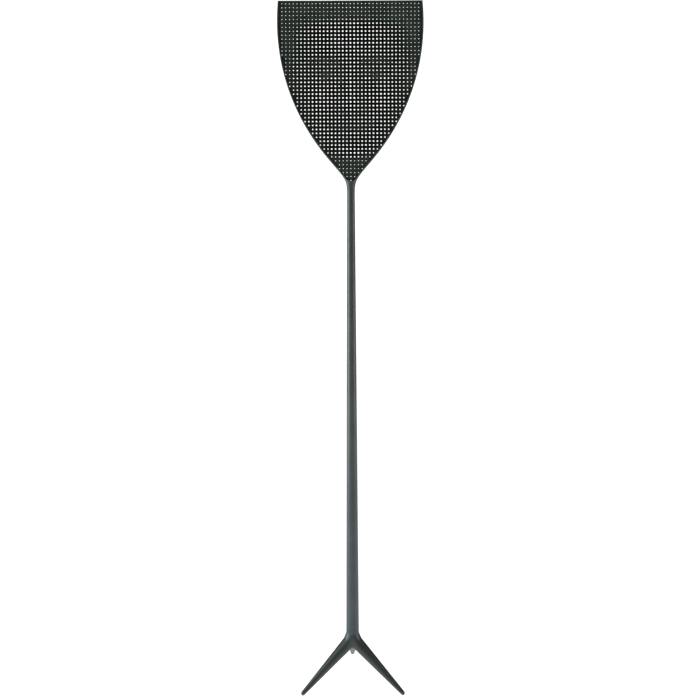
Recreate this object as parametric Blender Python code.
"""A stand-up fly swatter: a thin blade in a slim frame, on a tapered stem with a three-legged foot.

Metres, +Z up. The blade faces -Y. The origin is the middle of the bounding box, on the floor.
"""

import math

import bmesh
import bpy
import numpy as np
from mathutils import Euler, Vector

# Overall
HEIGHT = 0.440
HEAD_HEIGHT = 0.124
HEAD_TOP_WIDTH = 0.0938
FOOT_CIRCLE_RADIUS = 0.0357

# Clearance that every fitted pair keeps, and what a cutter overshoots a face by
FIT_GAP = 0.0003
OVERSHOOT = 0.001

# Head outline: the side bellies out, runs in at the taper angle, then turns down into the neck
BELLY_OUT = 0.0055
BELLY_DROP = 0.0600
TAPER_ANGLE = math.radians(49.8)
TAPER_HALF_WIDTH = 0.0120
TAPER_ABOVE_NECK = 0.0185
TAPER_PULL_UP = 0.0115
TAPER_PULL_DOWN = 0.0107
NECK_PULL_UP = 0.0083
OUTLINE_POINTS = 26

# Head frame and blade
FRAME_THICKNESS = 0.0020
FRAME_BORDER = 0.0010
FRAME_EDGE_ROUND = 0.0006
FRAME_EDGE_STEPS = 6
WINDOW_TIP_ABOVE_NECK = 0.0068
GROOVE_DEPTH = 0.0006
BLADE_THICKNESS = 0.0006
NECK_ROUND_LENGTH = 0.0055
NECK_BLEND_LENGTH = 0.0145
NECK_SKIN = 0.0001
NECK_STATIONS = 12
NECK_SIDES = 32

# Stem
STEM_TOP_RADIUS = 0.0025
STEM_FOOT_RADIUS = 0.0041
STEM_FOOT_Z = 0.0340
STEM_SIDES = 32
TOP_SPIGOT_WALL = 0.0008
TOP_SPIGOT_LENGTH = 0.0048
FOOT_SPIGOT_WALL = 0.0013
FOOT_SPIGOT_LENGTH = 0.0036

# Three-legged foot
HUB_CENTRE_Z = 0.0275
HUB_SWELL = 0.00025
LEG_ROOT_STEP = 0.0001
LEG_TIP_RADIUS = 0.0013
LEG_TIP_CENTRE_Z = 0.0011
LEG_JOINT = 0.0100
LEG_SPIGOT_WALL = 0.0014
LEG_SPIGOT_LENGTH = 0.0040
LEG_SIDES = 28
LEG_TIP_STEPS = 6
LEG_AZIMUTHS = {
    "leg_left": math.radians(210),
    "leg_right": math.radians(330),
    "leg_rear": math.radians(90),
}

NECK_Z = HEIGHT - HEAD_HEIGHT
# The hub is a little fuller than the stem that runs into it, and each leg starts just inside the hub
HUB_RADIUS = STEM_FOOT_RADIUS + HUB_SWELL
LEG_ROOT_RADIUS = HUB_RADIUS - LEG_ROOT_STEP
LEG_RUN = math.hypot(FOOT_CIRCLE_RADIUS, HUB_CENTRE_Z - LEG_TIP_CENTRE_Z)
# The rear leg reaches a whole radius back and the front pair half a radius forward
STEM_Y = -FOOT_CIRCLE_RADIUS / 4


def clear_scene():
    for obj in list(bpy.data.objects):
        bpy.data.objects.remove(obj, do_unlink=True)


def plastic(name, colour, roughness):
    material = bpy.data.materials.new(name)
    material.use_nodes = True
    shader = material.node_tree.nodes["Principled BSDF"]
    shader.inputs["Base Color"].default_value = (*colour, 1.0)
    shader.inputs["Roughness"].default_value = roughness
    shader.inputs["Metallic"].default_value = 0.0
    return material


def add_object(name, bm, material=None):
    bmesh.ops.recalc_face_normals(bm, faces=bm.faces)
    mesh = bpy.data.meshes.new(name)
    bm.to_mesh(mesh)
    bm.free()
    mesh.shade_smooth()
    mesh.set_sharp_from_angle(angle=math.radians(35))
    obj = bpy.data.objects.new(name, mesh)
    bpy.context.scene.collection.objects.link(obj)
    if material:
        mesh.materials.append(material)
    return obj


def boolean(obj, other, operation="DIFFERENCE"):
    """Cuts other out of obj, or joins it on, and keeps other as a hidden helper."""
    modifier = obj.modifiers.new(other.name, "BOOLEAN")
    modifier.operation = operation
    modifier.object = other
    other.hide_render = True
    other.display_type = "WIRE"


def skinned(rings):
    """A closed body through rings of points that all have the same count, with a face on each end."""
    bm = bmesh.new()
    rows = [[bm.verts.new(point) for point in ring] for ring in rings]
    for row, following in zip(rows, rows[1:]):
        for i in range(len(row)):
            j = (i + 1) % len(row)
            bm.faces.new((row[i], row[j], following[j], following[i]))
    bm.faces.new(rows[0])
    bm.faces.new(rows[-1])
    return bm


def turned(profile, sides):
    """A body turned about its own Z from a profile of (radius, z) points whose ends lie on the axis."""
    bm = bmesh.new()
    points = [bm.verts.new((radius, 0.0, z)) for radius, z in profile]
    edges = [bm.edges.new(pair) for pair in zip(points, points[1:])]
    bmesh.ops.spin(
        bm,
        geom=points + edges,
        cent=(0.0, 0.0, 0.0),
        axis=(0.0, 0.0, 1.0),
        angle=2 * math.pi,
        steps=sides,
        use_merge=True,
    )
    bmesh.ops.remove_doubles(bm, verts=bm.verts, dist=1e-6)
    return bm


def rod(radius, low, high):
    return [(0.0, low), (radius, low), (radius, high), (0.0, high)]


# Head outline


def bezier(start, pull_start, pull_end, end, steps):
    t = np.linspace(0.0, 1.0, steps)[:, None]
    ends = (1 - t) ** 3 * start + t**3 * end
    pulls = 3 * (1 - t) ** 2 * t * pull_start + 3 * (1 - t) * t**2 * pull_end
    return ends + pulls


def side_curve():
    """The right-hand side of the head as (x, z) points, from its top corner down to the neck."""
    corner = np.array([HEAD_TOP_WIDTH / 2, HEIGHT])
    belly = corner + (BELLY_OUT, -BELLY_DROP)
    taper = np.array([TAPER_HALF_WIDTH, NECK_Z + TAPER_ABOVE_NECK])
    along = np.array([math.cos(TAPER_ANGLE), math.sin(TAPER_ANGLE)])
    neck = np.array([STEM_TOP_RADIUS, NECK_Z])
    upper = bezier(corner, belly, taper + along * TAPER_PULL_UP, taper, 120)
    lower = bezier(
        taper, taper - along * TAPER_PULL_DOWN, neck + (0.0, NECK_PULL_UP), neck, 60
    )
    return np.vstack([upper, lower[1:]])


def inset_side(inset, high, low, count):
    """The side moved inwards by inset and kept between the heights high and low."""
    curve = side_curve()
    along = np.gradient(curve, axis=0)
    inward = np.stack([along[:, 1], -along[:, 0]], axis=1)
    inward /= np.linalg.norm(inward, axis=1, keepdims=True)
    moved = curve + inward * inset
    travelled = np.concatenate(
        [[0.0], np.cumsum(np.linalg.norm(np.diff(moved, axis=0), axis=1))]
    )
    first = np.interp(-high, -moved[:, 1], travelled)
    last = np.interp(-low, -moved[:, 1], travelled)
    at = np.linspace(first, last, count)
    x = np.interp(at, travelled, moved[:, 0])
    z = np.interp(at, travelled, moved[:, 1])
    z[0], z[-1] = high, low
    return np.stack([x, z], axis=1)


def head_ring(inset, high, low, y):
    """The head's outline, inset and closed across at high and at low, in the plane of y."""
    right = inset_side(inset, high, low, OUTLINE_POINTS)
    left = right[::-1] * (-1.0, 1.0)
    return [(x, STEM_Y + y, z) for x, z in np.vstack([right, left])]


def half_width(z):
    curve = side_curve()
    return float(np.interp(-z, -curve[:, 1], curve[:, 0]))


def blade_panel(material):
    edge_inset = FRAME_BORDER - GROOVE_DEPTH + FIT_GAP
    top = HEIGHT - edge_inset
    tip = NECK_Z + WINDOW_TIP_ABOVE_NECK - GROOVE_DEPTH + FIT_GAP
    rings = [
        head_ring(edge_inset, top, tip, y)
        for y in (-BLADE_THICKNESS / 2, BLADE_THICKNESS / 2)
    ]
    return add_object("blade_panel", skinned(rings), material)


def neck_body():
    """Sections from the stem's round, thinned and widened until they lie inside the flat frame."""
    rings = []
    length = NECK_ROUND_LENGTH + NECK_BLEND_LENGTH
    for height in np.linspace(0.0, length, NECK_STATIONS):
        blend = max(0.0, (height - NECK_ROUND_LENGTH) / NECK_BLEND_LENGTH)
        ease = blend * blend * (3 - 2 * blend)
        wide = half_width(NECK_Z + height) + NECK_SKIN
        wide -= ease * (FRAME_EDGE_ROUND + NECK_SKIN)
        deep = STEM_TOP_RADIUS + ease * (
            FRAME_THICKNESS / 2 - FIT_GAP - STEM_TOP_RADIUS
        )
        turn = np.linspace(0.0, 2 * math.pi, NECK_SIDES, endpoint=False)
        rings.append(
            [
                (wide * math.cos(a), STEM_Y + deep * math.sin(a), NECK_Z + height)
                for a in turn
            ]
        )
    return skinned(rings)


def head_frame(material):
    rings = []
    slab_low = NECK_Z + NECK_ROUND_LENGTH
    for turn in np.linspace(-math.pi / 2, math.pi / 2, FRAME_EDGE_STEPS + 1):
        inset = FRAME_EDGE_ROUND * (1 - math.cos(turn))
        y = FRAME_THICKNESS / 2 * math.sin(turn)
        rings.append(head_ring(inset, HEIGHT - inset, slab_low, y))
    frame = add_object("head_frame", skinned(rings), material)
    boolean(frame, add_object("neck", neck_body()), "UNION")

    window_top = HEIGHT - FRAME_BORDER
    window_tip = NECK_Z + WINDOW_TIP_ABOVE_NECK
    through = FRAME_THICKNESS / 2 + STEM_TOP_RADIUS + OVERSHOOT
    window = [
        head_ring(FRAME_BORDER, window_top, window_tip, y) for y in (-through, through)
    ]
    boolean(frame, add_object("window", skinned(window)))

    half_groove = BLADE_THICKNESS / 2 + FIT_GAP
    groove_top = window_top + GROOVE_DEPTH
    groove_tip = window_tip - GROOVE_DEPTH
    groove = [
        head_ring(FRAME_BORDER - GROOVE_DEPTH, groove_top, groove_tip, y)
        for y in (-half_groove, half_groove)
    ]
    boolean(frame, add_object("groove", skinned(groove)))

    socket_radius = STEM_TOP_RADIUS - TOP_SPIGOT_WALL + FIT_GAP
    socket = turned(rod(socket_radius, -OVERSHOOT, TOP_SPIGOT_LENGTH + FIT_GAP), STEM_SIDES)
    socket = add_object("neck_socket", socket)
    socket.location = (0.0, STEM_Y, NECK_Z)
    boolean(frame, socket)


def stem(material):
    """One turned rod: a spigot, a shoulder, the long taper, a shoulder and a spigot."""
    low, high = STEM_FOOT_Z, NECK_Z - FIT_GAP
    profile = [
        (0.0, low - FOOT_SPIGOT_LENGTH),
        (STEM_FOOT_RADIUS - FOOT_SPIGOT_WALL, low - FOOT_SPIGOT_LENGTH),
        (STEM_FOOT_RADIUS - FOOT_SPIGOT_WALL, low),
        (STEM_FOOT_RADIUS, low),
        (STEM_TOP_RADIUS, high),
        (STEM_TOP_RADIUS - TOP_SPIGOT_WALL, high),
        (STEM_TOP_RADIUS - TOP_SPIGOT_WALL, NECK_Z + TOP_SPIGOT_LENGTH),
        (0.0, NECK_Z + TOP_SPIGOT_LENGTH),
    ]
    obj = add_object("stem", turned(profile, STEM_SIDES), material)
    obj.location = (0.0, STEM_Y, 0.0)


# Three-legged foot: each leg's own Z runs down the leg from the middle of the hub


def leg_radius(along):
    return LEG_ROOT_RADIUS + (LEG_TIP_RADIUS - LEG_ROOT_RADIUS) * along / LEG_RUN


def leg_turn(azimuth):
    tilt = math.pi / 2 + math.atan2(
        HUB_CENTRE_Z - LEG_TIP_CENTRE_Z, FOOT_CIRCLE_RADIUS
    )
    return Euler((0.0, tilt, azimuth))


def place_on_hub(obj, azimuth):
    obj.location = (0.0, STEM_Y, HUB_CENTRE_Z)
    obj.rotation_euler = leg_turn(azimuth)


def leg_mesh(material):
    spigot = leg_radius(LEG_JOINT) - LEG_SPIGOT_WALL
    profile = [
        (0.0, LEG_JOINT - LEG_SPIGOT_LENGTH),
        (spigot, LEG_JOINT - LEG_SPIGOT_LENGTH),
        (spigot, LEG_JOINT),
        (leg_radius(LEG_JOINT), LEG_JOINT),
    ]
    for turn in np.linspace(0.0, math.pi / 2, LEG_TIP_STEPS):
        radius = LEG_TIP_RADIUS * math.cos(turn)
        profile.append((radius, LEG_RUN + LEG_TIP_RADIUS * math.sin(turn)))
    profile[-1] = (0.0, profile[-1][1])
    bm = turned(profile, LEG_SIDES)

    # The foot is cut off flat where the tip meets the floor
    down = Vector((0.0, 0.0, -1.0))
    down.rotate(leg_turn(0.0).to_matrix().inverted())
    bmesh.ops.bisect_plane(
        bm,
        geom=bm.verts[:] + bm.edges[:] + bm.faces[:],
        plane_co=down * HUB_CENTRE_Z,
        plane_no=down,
        clear_outer=True,
    )
    bmesh.ops.holes_fill(bm, edges=[edge for edge in bm.edges if edge.is_boundary])
    obj = add_object("leg_left", bm, material)
    return obj.data, obj


def legs(material):
    mesh, first = leg_mesh(material)
    for name, azimuth in LEG_AZIMUTHS.items():
        obj = first if name == first.name else bpy.data.objects.new(name, mesh)
        if obj is not first:
            bpy.context.scene.collection.objects.link(obj)
        place_on_hub(obj, azimuth)


def tripod_hub(material):
    collar_top = STEM_FOOT_Z - FIT_GAP
    collar = rod(STEM_FOOT_RADIUS, 0.0, collar_top - HUB_CENTRE_Z)
    hub = add_object("tripod_hub", turned(collar, STEM_SIDES), material)
    hub.location = (0.0, STEM_Y, HUB_CENTRE_Z)

    ball = bmesh.new()
    bmesh.ops.create_uvsphere(ball, u_segments=LEG_SIDES, v_segments=14, radius=HUB_RADIUS)
    ball = add_object("hub_ball", ball)
    ball.location = hub.location
    boolean(hub, ball, "UNION")

    end = LEG_JOINT - FIT_GAP
    stub = [(0.0, 0.0), (leg_radius(0.0), 0.0), (leg_radius(end), end), (0.0, end)]
    for name, azimuth in LEG_AZIMUTHS.items():
        obj = add_object(name + "_stub", turned(stub, LEG_SIDES))
        place_on_hub(obj, azimuth)
        boolean(hub, obj, "UNION")

    leg_socket_radius = leg_radius(LEG_JOINT) - LEG_SPIGOT_WALL + FIT_GAP
    leg_socket = rod(
        leg_socket_radius, LEG_JOINT - LEG_SPIGOT_LENGTH - FIT_GAP, LEG_JOINT + OVERSHOOT
    )
    for name, azimuth in LEG_AZIMUTHS.items():
        obj = add_object(name + "_socket", turned(leg_socket, LEG_SIDES))
        place_on_hub(obj, azimuth)
        boolean(hub, obj)

    stem_socket = rod(
        STEM_FOOT_RADIUS - FOOT_SPIGOT_WALL + FIT_GAP,
        STEM_FOOT_Z - FOOT_SPIGOT_LENGTH - FIT_GAP,
        STEM_FOOT_Z + OVERSHOOT,
    )
    obj = add_object("stem_socket", turned(stem_socket, STEM_SIDES))
    obj.location = (0.0, STEM_Y, 0.0)
    boolean(hub, obj)


clear_scene()
green_black = plastic("green_black_plastic", (0.020, 0.025, 0.020), 0.50)
slate_grey = plastic("slate_grey_plastic", (0.075, 0.090, 0.095), 0.42)
blade_panel(green_black)
head_frame(green_black)
stem(slate_grey)
tripod_hub(slate_grey)
legs(slate_grey)
